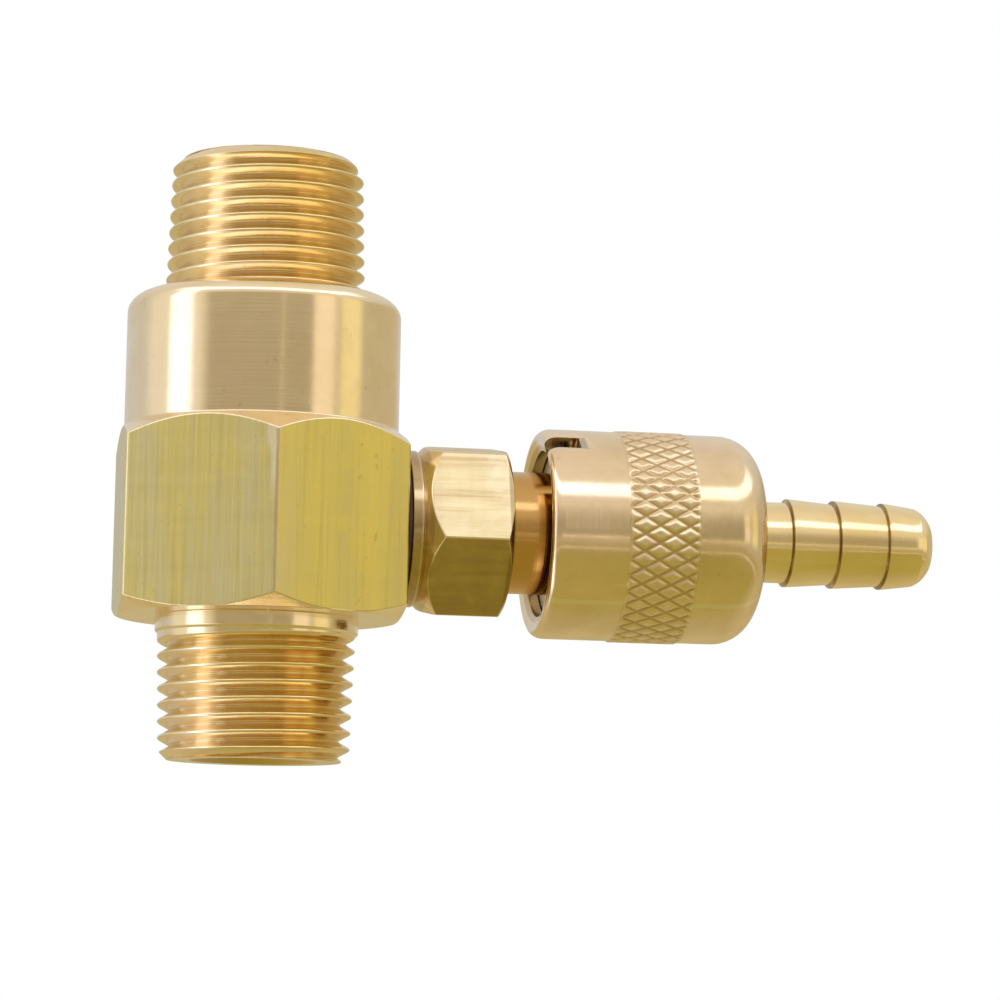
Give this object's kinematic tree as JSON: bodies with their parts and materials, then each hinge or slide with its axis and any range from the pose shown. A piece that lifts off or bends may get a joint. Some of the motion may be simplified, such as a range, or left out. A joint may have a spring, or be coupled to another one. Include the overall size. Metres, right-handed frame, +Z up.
{
  "type": "needle valve",
  "caption": "Brass pipe valve with a taper-threaded straight run, central hexagon and a side branch carrying a knurled metering knob and hose barb.",
  "frame": {"origin": "centre of the lower (inlet) end face of the straight run", "axes": "+Z up the straight run from inlet to outlet, +X out along the side branch towards the hose barb"},
  "size_m": [0.0721, 0.028, 0.0525],
  "materials": {
    "body_brass": "turned and drawn brass, satin",
    "insert_brass": "turned brass",
    "stem_brass": "bright turned brass",
    "knob_brass": "turned brass with a diamond knurl",
    "barb_brass": "turned brass",
    "stainless": "ground stainless steel",
    "nitrile": "black nitrile rubber",
    "fibre": "dark vulcanised fibre"
  },
  "bodies": {
    "valve": {"valve_body": "body_brass", "venturi_nozzle": "insert_brass", "nozzle_o_ring": "nitrile", "diffuser": "insert_brass", "diffuser_o_ring": "nitrile", "check_spring": "stainless", "ball_seat_ring": "nitrile", "port_seal_washer": "fibre", "metering_stem": "stem_brass", "metering_needle": "stainless", "stem_o_ring": "nitrile"},
    "ball": {"check_ball": "stainless"},
    "retainer": {"retaining_ring": "stainless"},
    "knob": {"metering_knob": "knob_brass", "hose_barb": "barb_brass"}
  },
  "joints": [
    {"name": "knob_travel", "type": "slide", "parent": "valve", "child": "retainer", "axis": [1, 0, 0], "range_m": [-0.001, 0.002]},
    {"name": "knob_turn", "type": "hinge", "parent": "retainer", "child": "knob", "pos_m": [0.03, 0, 0.02065], "axis": [1, 0, 0], "range_deg": [-360, 720]},
    {"name": "ball_lift", "type": "slide", "parent": "valve", "child": "ball", "axis": [-1, 0, 0], "range_m": [0, 0.0015], "stiffness_N_per_m": 50, "springref_m": -0.002, "deforming": ["check_spring"]}
  ],
  "couplings": [
    {"joint": "knob_turn", "follows": "knob_travel", "rad_per_m": 6283.2}
  ]
}
